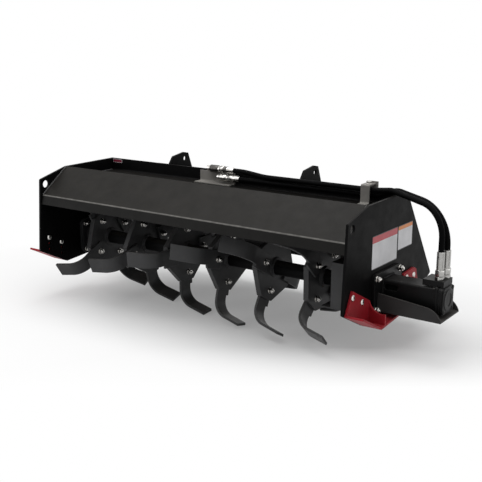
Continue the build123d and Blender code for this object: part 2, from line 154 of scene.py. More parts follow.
def powder_coat(name, colour, pale, gloss, dust=0.25, wear_and_highlight=0.5, specular=0.12):
    """Paint with cloudiness, orange peel, dust on top, and pale edges of wear and painted
    highlight.
    """
    material, tree, shader = start_material(name)
    place = tree.nodes.new("ShaderNodeTexCoord").outputs["Object"]
    cloud = spread(tree, noise(tree, place, 5.0, 5.0, 0.6), 0.3, 0.7, 0.0, 1.0)
    darker = [part * 0.82 for part in colour]
    lighter = [part * 1.16 for part in colour]
    coat = blend_colours(tree, cloud, darker, lighter)
    geometry = tree.nodes.new("ShaderNodeNewGeometry")
    facing = add_node(tree, "ShaderNodeSeparateXYZ", Vector=geometry.outputs["Normal"]).outputs["Z"]
    upward = spread(tree, facing, 0.5, 1.0, 0.0, dust)
    lying = times(tree, upward, noise(tree, place, 14.0, 6.0, 0.65))
    dusty = blend_colours(tree, lying, coat, road_dust)
    round_edge = tree.nodes.new("ShaderNodeBevel")
    round_edge.samples = 4
    round_edge.inputs["Radius"].default_value = edge_round_radius
    bend = add_node(tree, "ShaderNodeVectorMath", settings=(("operation", "DOT_PRODUCT"),))
    tree.links.new(round_edge.outputs["Normal"], bend.inputs[0])
    tree.links.new(geometry.outputs["Normal"], bend.inputs[1])
    # The edge mask makes sharp edges paler: paint wear, and in part a painted highlight.
    edge = spread(tree, bend.outputs["Value"], 0.995, 0.86, 0.0, 1.0)
    patches = spread(tree, noise(tree, place, 60.0, 6.0, 0.7), 0.42, 0.66, 0.12, wear_and_highlight)
    worn_and_lit = blend_colours(tree, times(tree, edge, patches), dusty, pale)
    tree.links.new(worn_and_lit, shader.inputs["Base Color"])
    rough = spread(tree, noise(tree, place, 22.0, 5.0, 0.6), 0.3, 0.7, gloss - 0.05, gloss + 0.08)
    tree.links.new(rough, shader.inputs["Roughness"])
    peel = noise(tree, place, 420.0, 2.0)
    bump = add_node(tree, "ShaderNodeBump", Height=peel, Strength=0.18, Distance=0.25 * mm)
    tree.links.new(round_edge.outputs["Normal"], bump.inputs["Normal"])
    tree.links.new(bump.outputs["Normal"], shader.inputs["Normal"])
    shader.inputs["Specular IOR Level"].default_value = specular
    return material


# %% [markdown]
# The machine is black all over, yet no two parts are the same black: the hood is dusty, the
# end plates are in its shade, the reel is scraped by soil. Each gets a coat of its own,
# matched to the picture. Only the shoes are red.

# %% The machine's coats
hood_coat = powder_coat(
    "hood_coat", (0.0080, 0.0077, 0.0072), (0.06, 0.058, 0.055), 0.50, dust=0.11, specular=0.08
)
# The end plates' coat is far darker than the hood's: painted shade, for the hood's shade over them.
plate_coat = powder_coat(
    "plate_coat", (0.0020, 0.0020, 0.0021), (0.03, 0.03, 0.03), 0.46, dust=0.05, specular=0.045
)
# The hub guard's lighter black is painted light, for its lit front.
guard_coat = powder_coat("guard_coat", (0.062, 0.062, 0.063), (0.17, 0.17, 0.17), 0.50)
# The motor tray's lighter black is a painted sheen.
tray_coat = powder_coat("tray_coat", (0.036, 0.035, 0.035), (0.14, 0.14, 0.14), 0.50)
reel_coat = powder_coat(
    "reel_coat", (0.045, 0.045, 0.046), (0.16, 0.16, 0.16), 0.40, wear_and_highlight=0.8, specular=0.16
)
shaft_coat = powder_coat(
    "shaft_coat", (0.0035, 0.0035, 0.0036), (0.03, 0.03, 0.03), 0.5, specular=0.05
)
shoe_coat = powder_coat("shoe_coat", (0.275, 0.013, 0.020), (0.38, 0.09, 0.10), 0.45, dust=0.08)
motor_coat = powder_coat(
    "motor_coat", (0.0058, 0.0058, 0.0060), (0.07, 0.07, 0.07), 0.38, dust=0.04, specular=0.10
)
strap_coat = powder_coat(
    "strap_coat", (0.185, 0.177, 0.165), (0.42, 0.41, 0.40), 0.42, dust=0.1
)
bearing_coat = powder_coat("bearing_coat", (0.018, 0.018, 0.019), (0.12, 0.12, 0.12), 0.6)
print("coats made", len(bpy.data.materials))

# %% [markdown]
# A painted highlight runs along two long bends: the hood's front bend and the top edge of the
# motor housing. Both run along X, so a material can find them by the distance of a place from
# that line, once its X is set to nothing.

# %% Painted highlights along two bends
hood_bend_y, hood_bend_z = 31, 252
housing_half = 49


def paint_bend_highlight(material, y, z, reach, pale):
    """Paints a pale highlight into a coat along a bend that runs along X."""
    tree = material.node_tree
    shader = tree.nodes["Principled BSDF"]
    place = tree.nodes.new("ShaderNodeTexCoord").outputs["Object"]
    flat = add_node(tree, "ShaderNodeVectorMath", settings=(("operation", "MULTIPLY"),))
    tree.links.new(place, flat.inputs[0])
    flat.inputs[1].default_value = (0, 1, 1)
    away = add_node(tree, "ShaderNodeVectorMath", settings=(("operation", "DISTANCE"),))
    tree.links.new(flat.outputs["Vector"], away.inputs[0])
    away.inputs[1].default_value = (0, spot(0, y, z).y, spot(0, y, z).z)
    near = spread(tree, away.outputs["Value"], reach * mm, reach * 0.3 * mm, 0.0, 1.0)
    patches = spread(tree, noise(tree, place, 40.0, 5.0), 0.3, 0.7, 0.55, 1.0)
    under = shader.inputs["Base Color"].links[0].from_socket
    highlighted = blend_colours(tree, times(tree, near, patches), under, pale)
    tree.links.new(highlighted, shader.inputs["Base Color"])
    print(material.name, "rubbed along y", y, "z", z)


# Painted highlights: the hood's front bend and the motor housing's top edge.
paint_bend_highlight(hood_coat, hood_bend_y, hood_bend_z, 4.2, (0.17, 0.165, 0.155))
paint_bend_highlight(motor_coat, axis_y - housing_half, axis_z + housing_half, 4.0, (0.075, 0.070, 0.060))

# %% [markdown]
# Zinc plate on bolts and fittings is bright, a little yellow, and finely brushed. A light grey
# paint would look chalky beside it, so the shader is all metal, and the roughness does the
# work: noise makes it lower in some patches and higher in others, as handling does.

# %% Zinc plate


def zinc_plate(name, colour, gloss):
    """Bright plated steel with small stains."""
    material, tree, shader = start_material(name)
    place = tree.nodes.new("ShaderNodeTexCoord").outputs["Object"]
    stain = spread(tree, noise(tree, place, 120.0, 6.0, 0.65), 0.35, 0.7, 0.0, 1.0)
    plated = blend_colours(tree, stain, colour, [part * 0.78 for part in colour])
    tree.links.new(plated, shader.inputs["Base Color"])
    rough = spread(tree, noise(tree, place, 300.0, 4.0), 0.3, 0.7, gloss - 0.06, gloss + 0.1)
    tree.links.new(rough, shader.inputs["Roughness"])
    scratches = noise(tree, place, 1400.0)
    grain = add_node(tree, "ShaderNodeBump", Height=scratches, Strength=0.1, Distance=0.1 * mm)
    tree.links.new(grain.outputs["Normal"], shader.inputs["Normal"])
    shader.inputs["Metallic"].default_value = 1.0
    return material


zinc = zinc_plate("zinc", (0.42, 0.415, 0.40), 0.24)
bolt_zinc = zinc_plate("bolt_zinc", (0.60, 0.585, 0.56), 0.22)
blackened_zinc = zinc_plate("blackened_zinc", (0.075, 0.072, 0.068), 0.34)
print("metals:", zinc.name, bolt_zinc.name, blackened_zinc.name)

# %% [markdown]
# Hydraulic hose has a rubber cover that is pressed in cloth while it cures, so it keeps a
# faint weave. Modelled threads would cost a million faces for what is barely seen, so two
# fine waves across each other give the weave its height in a bump.

# %% Hose rubber


def hose_rubber(name, colour):
    """Black rubber with the print of the cloth it was cured in."""
    material, tree, shader = start_material(name)
    place = tree.nodes.new("ShaderNodeTexCoord").outputs["Object"]
    cloud = noise(tree, place, 30.0, 5.0, 0.6)
    scuffs = spread(tree, cloud, 0.35, 0.75, 0.0, 1.0)
    scuffed = blend_colours(tree, scuffs, colour, [part * 2.2 for part in colour])
    tree.links.new(scuffed, shader.inputs["Base Color"])
    yarns = []
    for axis in ("X", "Z"):
        bands = (("bands_direction", axis),)
        wave = add_node(tree, "ShaderNodeTexWave", settings=bands, Vector=place, Scale=220.0)
        yarns.append(wave.outputs["Fac"])
    print_height = times(tree, *yarns)
    weave = add_node(tree, "ShaderNodeBump", Height=print_height, Strength=0.3, Distance=0.2 * mm)
    tree.links.new(weave.outputs["Normal"], shader.inputs["Normal"])
    rough = spread(tree, cloud, 0.3, 0.7, 0.5, 0.66)
    tree.links.new(rough, shader.inputs["Roughness"])
    shader.inputs["Specular IOR Level"].default_value = 0.035
    return material


rubber = hose_rubber("rubber", (0.0006, 0.0006, 0.0007))
print("hose cover:", rubber.name)

# %% [markdown]
# Label plates are printed film. Ours are blank: a pale field, a dark rim and one plain
# coloured band. One material could hold all three by place, but a film of its own for each
# colour keeps the edges between them sharp, because they are then edges of the mesh.

# %% Label film


def label_film(name, colour):
    """Smooth printed film, faintly uneven."""
    material, tree, shader = start_material(name)
    place = tree.nodes.new("ShaderNodeTexCoord").outputs["Object"]
    tone = spread(tree, noise(tree, place, 18.0, 6.0, 0.6), 0.35, 0.7, 0.0, 1.0)
    film = blend_colours(tree, tone, colour, [part * 0.86 for part in colour])
    tree.links.new(film, shader.inputs["Base Color"])
    rough = spread(tree, noise(tree, place, 90.0, 4.0), 0.3, 0.7, 0.3, 0.42)
    tree.links.new(rough, shader.inputs["Roughness"])
    return material


film_white = label_film("film_white", (0.70, 0.70, 0.72))
film_rim = label_film("film_rim", (0.012, 0.012, 0.014))
film_red = label_film("film_red", (0.50, 0.030, 0.045))
film_orange = label_film("film_orange", (0.72, 0.22, 0.03))
film_dark_red = label_film("film_dark_red", (0.16, 0.012, 0.03))
print("finishes so far", len(bpy.data.materials))

# %% [markdown]
# Now the CAD nodes get their coats. A node keeps its mesh, because the collision model is made
# from the same solids; only its material slot changes.

# %% Coat the CAD nodes


def coat_nodes(names, material):
    """Gives the named CAD nodes one finish."""
    for name in names:
        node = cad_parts[name]
        node.data.materials.clear()
        node.data.materials.append(material)
    print(material.name, "on", len(names), "nodes")


flange_count = 6
numbers = range(1, flange_count + 1)
coat_nodes(["hood"], hood_coat)
coat_nodes(["side_plate_left", "side_plate_right", "trough", "rear_plate"], plate_coat)
coat_nodes(["gusset_left", "gusset_right", "loader_plate", "loader_hook", "lock_bar"], plate_coat)
coat_nodes(["hub_guard"], guard_coat)
coat_nodes(["motor_guard"], tray_coat)
coat_nodes(["motor_housing", "motor"], motor_coat)
coat_nodes(["rotor_shaft"], shaft_coat)
coat_nodes([f"flange_{n}" for n in numbers] + [f"tines_{n}" for n in numbers], reel_coat)
coat_nodes(["skid_front_left", "skid_front_right", "skid_rear_left", "skid_rear_right"], shoe_coat)
coat_nodes(["bearing_left", "bearing_right"], bearing_coat)
coat_nodes(["hose_pressure", "hose_return"], rubber)
coat_nodes(["coupler_shelf", "hose_clamp"], strap_coat)
coat_nodes(["port_adapters", "hose_ends", "coupler_upper", "coupler_lower"], zinc)

# %% [markdown]
# Small parts are modelled once, standing up from the ground at the middle of the scene, and
# then copied to their places. Modelling by operator means selecting first, as we would with
# the mouse, so the first helpers select: one piece, or its faces by their place and normal.

# %% Helpers that select


def deselect_all():
    """Back to object mode with nothing selected."""
    if bpy.context.mode != "OBJECT":
        bpy.ops.object.mode_set(mode="OBJECT")
    bpy.ops.object.select_all(action="DESELECT")


def name_new(name):
    """Names the piece that an operator has just added."""
    piece = bpy.context.object
    piece.name = name
    piece.data.name = name
    return piece


def make_active(piece):
    """Selects one piece and makes it the active one."""
    deselect_all()
    piece.select_set(True)
    bpy.context.view_layer.objects.active = piece


def pick_faces(piece, rule):
    """Edit mode, with the faces selected whose centre and normal fit the rule."""
    make_active(piece)
    bpy.ops.object.mode_set(mode="EDIT")
    bpy.ops.mesh.select_mode(type="FACE")
    bpy.ops.mesh.select_all(action="DESELECT")
    shape = bmesh.from_edit_mesh(piece.data)
    for face in shape.faces:
        face.select_set(bool(rule(face.calc_center_median(), face.normal)))
    bmesh.update_edit_mesh(piece.data)


# %% [markdown]
# A modifier is a recipe; applying it makes the mesh real. Smooth light belongs on round
# faces only, so shading goes by the angle between faces.

# %% Helpers that finish a mesh


def set_modifier(piece, kind, **settings):
    """Adds a modifier and applies it at once."""
    make_active(piece)
    modifier = piece.modifiers.new(kind.title(), kind)
    for name, value in settings.items():
        setattr(modifier, name, value)
    bpy.ops.object.modifier_apply(modifier=modifier.name)


def soften(piece, angle=40):
    """Smooth light on round faces, sharp light on corners."""
    make_active(piece)
    bpy.ops.object.shade_smooth_by_angle(angle=radians(angle))


def join_as(name, pieces):
    """Joins pieces into one."""
    deselect_all()
    for piece in pieces:
        piece.select_set(True)
    bpy.context.view_layer.objects.active = pieces[0]
    if len(pieces) > 1:
        bpy.ops.object.join()
    return name_new(name)


# %% [markdown]
# To place a part we move its mesh and leave its object at the origin. Its finish reads Object
# coordinates, so it then lies on the part as on the CAD nodes beside it.

# %% Helpers that place and copy


def stand(piece, place, along, turn=0.0):
    """Moves a piece's mesh from the ground to its place, its top pointing along a direction."""
    tilt = Vector(along).to_track_quat("Z", "Y").to_matrix().to_4x4()
    piece.data.transform(Matrix.Translation(place) @ tilt @ Matrix.Rotation(turn, 4, "Z"))
    piece.data.update()


def copy_to(model, name, places):
    """Copies a model to several places and joins the copies. The model stays for later."""
    twins = []
    for place, along, turn in places:
        twin = model.copy()
        twin.data = model.data.copy()
        bpy.context.collection.objects.link(twin)
        stand(twin, place, along, turn)
        twins.append(twin)
    return join_as(name, twins)


def finish_piece(piece, material, body):
    """Gives a piece its finish and its body."""
    if material is not None:
        piece.data.materials.clear()
        piece.data.materials.append(material)
    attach(piece, body)
    print(piece.name, len(piece.data.polygons), "faces")


# %% [markdown]
# A turned part is drawn as a lathe would cut it: start with a disc, pull it up a step, and
# scale the new ring. A list of heights and radii holds the whole profile. Spinning a drawn
# line does the same, but leaves a seam to merge; an extruded disc is closed from the start.

# %% Turned parts and hexagons


def turned(name, profile, sides=28):
    """A turned part that stands on the ground. The profile lists (height, radius) in mm."""
    deselect_all()
    height, radius = profile[0]
    bpy.ops.mesh.primitive_circle_add(
        vertices=sides,
        radius=radius * mm,
        fill_type="NGON",
        location=(0, 0, height * mm),
    )
    piece = name_new(name)
    bpy.ops.object.transform_apply(location=True, rotation=False, scale=False)
    bpy.ops.object.mode_set(mode="EDIT")
    bpy.ops.mesh.select_mode(type="FACE")
    bpy.ops.mesh.select_all(action="SELECT")
    for next_height, next_radius in profile[1:]:
        step = (0, 0, (next_height - height) * mm)
        bpy.ops.mesh.extrude_region_move(TRANSFORM_OT_translate={"value": step})
        grow = next_radius / radius
        bpy.ops.transform.resize(value=(grow, grow, 1), center_override=(0, 0, next_height * mm))
        height, radius = next_height, next_radius
    bpy.ops.mesh.select_all(action="SELECT")
    bpy.ops.mesh.normals_make_consistent(inside=False)
    bpy.ops.object.mode_set(mode="OBJECT")
    soften(piece)
    return piece


def hexagon(name, flats, rise, base=0.0):
    """A hexagon with its top corners cut back, as on a nut."""
    deselect_all()
    straight = rise * 0.86
    bpy.ops.mesh.primitive_cylinder_add(
        vertices=6,
        radius=flats / sqrt(3) * mm,
        depth=straight * mm,
        location=(0, 0, (base + straight / 2) * mm),
    )
    piece = name_new(name)
    bpy.ops.object.transform_apply(location=True, rotation=False, scale=False)
    pick_faces(piece, lambda centre, normal: normal.z > 0.9)
    bpy.ops.mesh.inset(thickness=flats * 0.055 * mm)
    bpy.ops.transform.translate(value=(0, 0, (rise - straight) * mm))
    bpy.ops.object.mode_set(mode="OBJECT")
    set_modifier(piece, "BEVEL", width=flats * 0.012 * mm, segments=2, limit_method="ANGLE")
    soften(piece, 30)
    return piece


def threads(start, end, radius, pitch=1.6):
    """The steps of a threaded end, for a turned profile."""
    steps = []
    height = start
    while height < end:
        steps += [(height, radius), (height + pitch / 2, radius * 0.88)]
        height += pitch
    return steps


# %% [markdown]
# Each tine hangs from its flange by one big bolt near the flange's corner. We see a washer,
# a hexagon nut and the threaded end from the motor's side, and a domed head behind. The thread
# is a stack of small steps and no true helix, which at this size nobody could tell apart.

# %% Model one nut with its stud, and one domed head
washer = turned("washer", [(0, 12.4), (0.4, 12.8), (2.2, 12.8), (2.6, 12.4), (2.6, 7)])
nut = hexagon("nut", 20, 12.5, base=2.4)
stud = turned("stud", [(2, 6.6), (14, 6.6)] + threads(14.2, 19, 6.4) + [(20, 5.4), (20.6, 4.2)], 20)
big_nut = join_as("big_nut", [washer, nut, stud])
dome_profile = [(0, 13), (1.3, 13), (4, 11.8), (6.2, 9.2), (7.6, 5.2), (8.2, 1.8)]
domed_head = turned("domed_head", dome_profile, 24)
print("nut faces", len(big_nut.data.polygons))

# %% [markdown]
# The four bolts of a flange sit at its corners, so one loop over six flanges and four
# quarter turns places all of them. The flanges are turned a little more one after another,
# so that the tines enter the soil in turn. Two tines of each four lie on the flange's near
# face, so their nuts stand a tine's thickness further out. Each set rides on the rotor.

# %% Tine bolts
first_flange_x, flange_step = 97, 231
first_turn, turn_step = 74.2, 14.7
flange_places = [first_flange_x + flange_step * index for index in range(flange_count)]
flange_turns = [radians(first_turn - turn_step * index) for index in range(flange_count)]
flange_wall = 22
tine_wall = 10
bolt_circle = 98
head_turn = radians(4)


def round_axis(x, radius, angle):
    """A place at a radius and angle round the shaft."""
    return spot(x, axis_y + radius * cos(angle), axis_z + radius * sin(angle))


for index, (flange_x, turn) in enumerate(zip(flange_places, flange_turns)):
    outer = []
    inner = []
    for quarter in range(4):
        angle = radians(45) + turn + quarter * pi / 2 + head_turn
        nut_x = flange_x + flange_wall + (tine_wall if quarter % 2 else 0)
        outer.append((round_axis(nut_x, bolt_circle, angle), right, angle))
        inner.append((round_axis(flange_x, bolt_circle, angle), left, angle))
    nuts = copy_to(big_nut, "nuts", outer)
    heads = copy_to(domed_head, "heads", inner)
    bolts = join_as(f"tine_bolts_{index + 1}", [nuts, heads])
    finish_piece(bolts, bolt_zinc, "rotor")

# %% [markdown]
# A weld bead round a tube is a ring with ripples where the welder paused. A torus gives the
# ring, and every third section is drawn in a little. The three rings of a flange are made
# once, at their heights above the ground, and then copied to all six.

# %% Weld rings on the shaft
ripple = 2.6
tube_bead_radius = 31
hub_bead_radius = 40


def ring_weld(name, height, radius, bead):
    """A rippled bead round the Z axis, at a height above the ground."""
    deselect_all()
    around = 8
    sections = int(2 * pi * radius / ripple) // 3 * 3
    bpy.ops.mesh.primitive_torus_add(
        major_radius=radius * mm,
        minor_radius=bead * mm,
        major_segments=sections,
        minor_segments=around,
    )
    piece = name_new(name)
    for vertex in piece.data.vertices:
        angle = atan2(vertex.co.y, vertex.co.x)
        vertex.select = round(angle / (2 * pi) * sections) % 3 == 0
    bpy.ops.object.mode_set(mode="EDIT")
    bpy.ops.mesh.select_mode(type="VERT")
    bpy.ops.transform.shrink_fatten(value=-bead * 0.16 * mm)
    bpy.ops.object.mode_set(mode="OBJECT")
    piece.data.transform(Matrix.Translation((0, 0, height * mm)))
    soften(piece, 60)
    return piece


weld_set = join_as("weld_set", [
    ring_weld("ring", 0, tube_bead_radius, 3.2),
    ring_weld("ring", flange_wall + 0.5, hub_bead_radius, 3.4),
    ring_weld("ring", flange_wall + 8, tube_bead_radius, 3.0),
])
for index, flange_x in enumerate(flange_places):
    on_shaft = [(spot(flange_x, axis_y, axis_z), right, 0.0)]
    welds = copy_to(weld_set, f"flange_welds_{index + 1}", on_shaft)
    finish_piece(welds, reel_coat, "rotor")

# %% [markdown]
# Straight welds are a row of ripples too: one short cone, repeated by an Array modifier.
# Each cone hides the thin end of the last one, which is how a real bead overlaps. The hood
# has two on each side: one follows its slope, the other its trough.

# %% Straight welds


def line_weld(name, start, end, bead=4.0):
    """A rippled bead from one place to another."""
    deselect_all()
    pitch = bead * 0.85
    run = end - start
    bpy.ops.mesh.primitive_cone_add(
        vertices=8,
        radius1=bead * mm,
        radius2=bead * 0.76 * mm,
        depth=pitch * 1.3 * mm,
        location=(0, 0, pitch * 0.65 * mm),
    )
    piece = name_new(name)
    bpy.ops.object.transform_apply(location=True, rotation=False, scale=False)
    set_modifier(
        piece,
        "ARRAY",
        count=max(2, int(run.length / (pitch * mm))),
        use_relative_offset=False,
        use_constant_offset=True,
        constant_offset_displace=(0, 0, pitch * mm),
    )
    stand(piece, start, run)
    soften(piece, 50)
    return piece


hood_welds = []
for x in (1.5, work_width - 1.5):
    hood_welds.append(line_weld("bead", spot(x, 31, 255), spot(x, 173, 361), 3.6))
    hood_welds.append(line_weld("bead", spot(x, 192, 309.5), spot(x, 470, 309.5), 3.2))
# The hood's beads take the guard's lighter coat, a painted highlight along the joints.
finish_piece(join_as("hood_welds", hood_welds), guard_coat, "frame")

# %% [markdown]
# The two ears behind the hood are welded along both sides, to the hood's back and to the
# loader plate. Nothing of that is in the picture, but it is there when the machine is turned.

# %% Welds of the ears
ear_wall = 12
gusset_welds = []
for centre_x in (347, 1055):
    for x in (centre_x - ear_wall / 2, centre_x + ear_wall / 2):
        gusset_welds.append(line_weld("bead", spot(x, 494, 356), spot(x, 744, -6)))
        gusset_welds.append(line_weld("bead", spot(x, 660, 302), spot(x, 771, -4)))
finish_piece(join_as("gusset_welds", gusset_welds), plate_coat, "frame")

# %% [markdown]
# The motor housing is a square tube. A bead runs along each of its four sides where it meets
# its flange, from one corner's rounding to the next, and stands a few millimetres outside it.

# %% Welds of the motor housing
housing_weld_x = 1548
corner_share = 0.93
housing_bead_out = 4
housing_welds = []
half = housing_half
corners = [(-half, -half), (half, -half), (half, half), (-half, half)]
for index, (y, z) in enumerate(corners):
    next_y, next_z = corners[(index + 1) % 4]
    start = spot(housing_weld_x, axis_y + y * corner_share, axis_z + z * corner_share)
    end = spot(housing_weld_x, axis_y + next_y * corner_share, axis_z + next_z * corner_share)
    shift = Vector((0, y + next_y, z + next_z)).normalized() * housing_bead_out * mm
    housing_welds.append(line_weld("bead", start + shift, end + shift, 3.4))
finish_piece(join_as("housing_welds", housing_welds), motor_coat, "frame")

# %% [markdown]
# The frame is bolted too: four bolts hold each bearing, four the motor housing's flange, and
# the shoes bolt on through the end plates' holes. Their nuts are a size smaller than the
# tines', so they are modelled again by the same helpers, not scaled, to keep true threads.

# %% Model the frame's nut, bolt head and domed head
washer_profile = [(0, 12), (0.4, 12.3), (1.8, 12.3), (2.2, 12), (2.2, 6)]
stud_profile = [(2, 6), (13, 6)] + threads(13.2, 18, 5.9) + [(18.8, 5), (19.4, 4)]
low_dome_profile = [(0, 11.6), (0.8, 11.8), (2.6, 10.6), (4.0, 7.6), (4.8, 4.0), (5.0, 1.5)]
small_nut = join_as("small_nut", [
    turned("small_washer", washer_profile),
    hexagon("small_hex", 19, 11.5, base=2.0),
    turned("small_stud", stud_profile, 18),
])
small_head = join_as("small_head", [
    turned("head_washer", washer_profile),
    hexagon("head_hex", 19, 10.5, base=2.0),
])
low_dome = turned("low_dome", low_dome_profile, 24)
print("nut", len(small_nut.data.polygons), "head", len(small_head.data.polygons), "faces")

# %% [markdown]
# A bolt stands on the face that it clamps, so each place is that face and the direction
# outwards. The shoes' bolts show a dome on both ends, inside the hood and on the shoe.

# %% Frame bolts
bearing_bolt = 61
bearing_face = 18
housing_bolt_y, housing_bolt_z = 95, 59
housing_flange = 12
shoe_wall = 8
bearing_spots = [
    (axis_y + y, axis_z + z)
    for y in (-bearing_bolt, bearing_bolt)
    for z in (-bearing_bolt, bearing_bolt)
]
flange_spots = [
    (axis_y + y, axis_z + z)
    for y in (-housing_bolt_y, housing_bolt_y)
    for z in (-housing_bolt_z, housing_bolt_z)
]
shoe_spots = [(55, 54), (127, 20), (497, 24), (561, 20)]

nut_places = [(spot(bearing_face, y, z), right, 0.3) for y, z in bearing_spots]
nut_places += [(spot(work_width - bearing_face, y, z), left, 0.5) for y, z in bearing_spots]
nut_places += [(spot(outside_right + housing_flange, y, z), right, 0.2) for y, z in flange_spots]
frame_nuts = copy_to(small_nut, "frame_nuts", nut_places)

head_places = [(spot(-wall, y, z), left, 0.35) for y, z in bearing_spots]
frame_heads = copy_to(small_head, "frame_heads", head_places)
dome_faces = [(0, right), (work_width, left), (outside_right + shoe_wall, right)]
dome_faces += [(-wall - shoe_wall, left)]
dome_places = [(spot(x, y, z), along, 0.0) for x, along in dome_faces for y, z in shoe_spots]
frame_domes = copy_to(low_dome, "frame_domes", dome_places)
frame_bolts = join_as("frame_bolts", [frame_nuts, frame_heads, frame_domes])
finish_piece(frame_bolts, bolt_zinc, "frame")

# %% [markdown]
# The motor bolts to the housing by a square plate, and four long screws hold its end cover.
# Rounded squares come from a cube, sized, then bevelled along the four edges that run with
# the shaft. The bevel is an operator on chosen edges, because a modifier would take them all.

# %% Motor plate and cover


def rounded_block(name, low, high, corner, edge=0.8):
    """A block between two places, its X edges rounded and its rims softened."""
    deselect_all()
    bpy.ops.mesh.primitive_cube_add(size=1)
    piece = name_new(name)
    size = high - low
    bpy.ops.object.mode_set(mode="EDIT")
    bpy.ops.mesh.select_all(action="SELECT")
    bpy.ops.transform.resize(value=size, center_override=(0, 0, 0))
    bpy.ops.transform.translate(value=(low + high) / 2)
    bpy.ops.mesh.select_mode(type="EDGE")
    bpy.ops.mesh.select_all(action="DESELECT")
    shape = bmesh.from_edit_mesh(piece.data)
    for rim in shape.edges:
        run = rim.verts[1].co - rim.verts[0].co
        rim.select_set(abs(run.x) > 0.99 * run.length)
    bmesh.update_edit_mesh(piece.data)
    bpy.ops.mesh.bevel(offset=corner * mm, segments=6, affect="EDGES")
    bpy.ops.object.mode_set(mode="OBJECT")
    set_modifier(piece, "BEVEL", width=edge * mm, segments=2, limit_method="ANGLE")
    soften(piece, 35)
    return piece


def square_at(name, start_x, end_x, side, corner, edge=0.8):
    """A rounded square plate centred on the shaft."""
    low = spot(start_x, axis_y - side / 2, axis_z - side / 2)
    high = spot(end_x, axis_y + side / 2, axis_z + side / 2)
    return rounded_block(name, low, high, corner, edge)


motor_plate = square_at("motor_plate", 1750.5, 1760.5, side=110, corner=10, edge=1.2)
cover_plate = square_at("cover_plate", 1777, 1782, side=98, corner=20, edge=1.0)
cover_ring = turned("cover_ring", [(0, 40), (2, 40), (3, 39), (3, 26), (1, 24), (1, 12)], 48)
stand(cover_ring, spot(1781.5, axis_y, axis_z), right)
seam = square_at("seam", 1766, 1768.4, side=105.5, corner=21, edge=0.6)
motor_plates = join_as("motor_plates", [motor_plate, cover_plate, cover_ring, seam])
finish_piece(motor_plates, motor_coat, "frame")

# %% [markdown]
# The cover's screws have round heads with a socket for a key. The socket is turned too: the
# profile goes in and back down, as a drill would.

# %% Motor screws
screw_x = 1776
screw_reach = 39
screw_profile = [(0, 7), (0.6, 7.6), (7, 7.6), (7.8, 7), (7.8, 4), (4, 3.6)]
cap_screw = turned("cap_screw", screw_profile, 24)
screw_places = [
    (spot(screw_x, axis_y + y, axis_z + z), right, 0.0)
    for y in (-screw_reach, screw_reach)
    for z in (-screw_reach, screw_reach)
]
finish_piece(copy_to(cap_screw, "motor_screws", screw_places), motor_coat, "frame")

# %% [markdown]
# At the motor, each hose ends in a swivel nut on an adapter, and a collar is crimped over
# the rubber. The crimping dies leave eight flats, so eight strips of the collar are pressed in.

# %% Model a hose end and an adapter
collar_sides = 32
collar_profile = [
    (36, 10), (37, 12.6), (38, 13.4), (42, 13.4), (43, 14), (102, 14), (103.5, 13.4), (104, 11),
]


def crimped_collar():
    """A collar whose strips are pressed in by the crimping dies."""
    collar = turned("collar", collar_profile, collar_sides)
    pick_faces(collar, lambda centre, normal: abs(normal.z) < 0.2 and 60 * mm < centre.z < 80 * mm)
    bpy.ops.mesh.inset(thickness=3.2 * mm, use_boundary=True)
    bpy.ops.object.mode_set(mode="OBJECT")
    for face in collar.data.polygons:
        angle = Vector((1, 0)).angle_signed(face.center.xy, 0) % (2 * pi)
        strip = int(angle / (2 * pi) * collar_sides) % 4 == 0
        upright = abs(face.normal.z) < 0.2
        face.select = strip and upright and 50 * mm < face.center.z < 98 * mm
    bpy.ops.object.mode_set(mode="EDIT")
    bpy.ops.mesh.inset(thickness=0.3 * mm)
    bpy.ops.transform.shrink_fatten(value=-1.1 * mm)
    bpy.ops.object.mode_set(mode="OBJECT")
    soften(collar, 30)
    return collar


hose_end = join_as("hose_end", [
    crimped_collar(),
    hexagon("swivel", 32, 22, base=16),
    turned("neck", [(14, 11), (17, 11)], 24),
])
adapter = join_as("adapter", [
    hexagon("adapter_hex", 30, 14, base=0),
    turned("adapter_neck", [(0, 12), (12, 12)] + threads(12.4, 16, 11.6) + [(16.4, 10)], 28),
])
print("hose end", len(hose_end.data.polygons), "adapter", len(adapter.data.polygons), "faces")

# %% [markdown]
# Both stand on the motor's ports, one behind the other. Here they take the place of the CAD
# model's plain hose ends and adapters, which stay in the collision model but don't show.

# %% Fit them on the ports
port_z = 97
port_places = [(1760, 344.5), (1753, 305.5)]
end_places = [(spot(x, y, port_z), up, 0.26) for x, y in port_places]
hose_fittings = copy_to(hose_end, "hose_fittings", end_places)
finish_piece(hose_fittings, zinc, "frame")
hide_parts("hose_ends")
adapters = copy_to(adapter, "adapters", [(place, along, 0.0) for place, along, turn in end_places])
finish_piece(adapters, zinc, "frame")
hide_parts("port_adapters")

# %% [markdown]
# Quick couplers are turned steel: a nose, a sliding sleeve with grips, a hexagon and a
# crimp. Each groove could be cut out, but a profile that steps in and out makes them all at
# once, and is stretched to each coupler's length. The upper one is blackened and bright
# in runs, so its faces there get a second finish by their place along it.

# %% Couplers
coupler_profile = [
    (0, 10.5), (1, 12.4), (9, 12.4), (10, 11.2), (13, 11.2), (14, 14.8), (16, 16.3),
    (20, 16.3), (21, 15.2), (24, 15.2), (25, 16.3), (29, 16.3), (30, 15.2), (33, 15.2),
    (34, 16.3), (46, 16.3), (48, 15.6), (50, 13.2), (56, 13.2), (57, 14.4), (76, 14.4),
    (78, 12.8), (82, 12.8), (83, 14.6), (86, 14.6), (87, 13.6), (108, 13.6), (110, 12.6),
    (113, 11.2),
]


def model_coupler(name, length, x, y, z):
    """One coupler along X, its nose to the left."""
    stretch = length / coupler_profile[-1][0]
    body = turned("body", [(height * stretch, radius) for height, radius in coupler_profile], 36)
    grip = hexagon("grip", 28.5, 16 * stretch, base=58 * stretch)
    coupler = join_as(name, [body, grip])
    stand(coupler, spot(x, y, z), right)
    return coupler


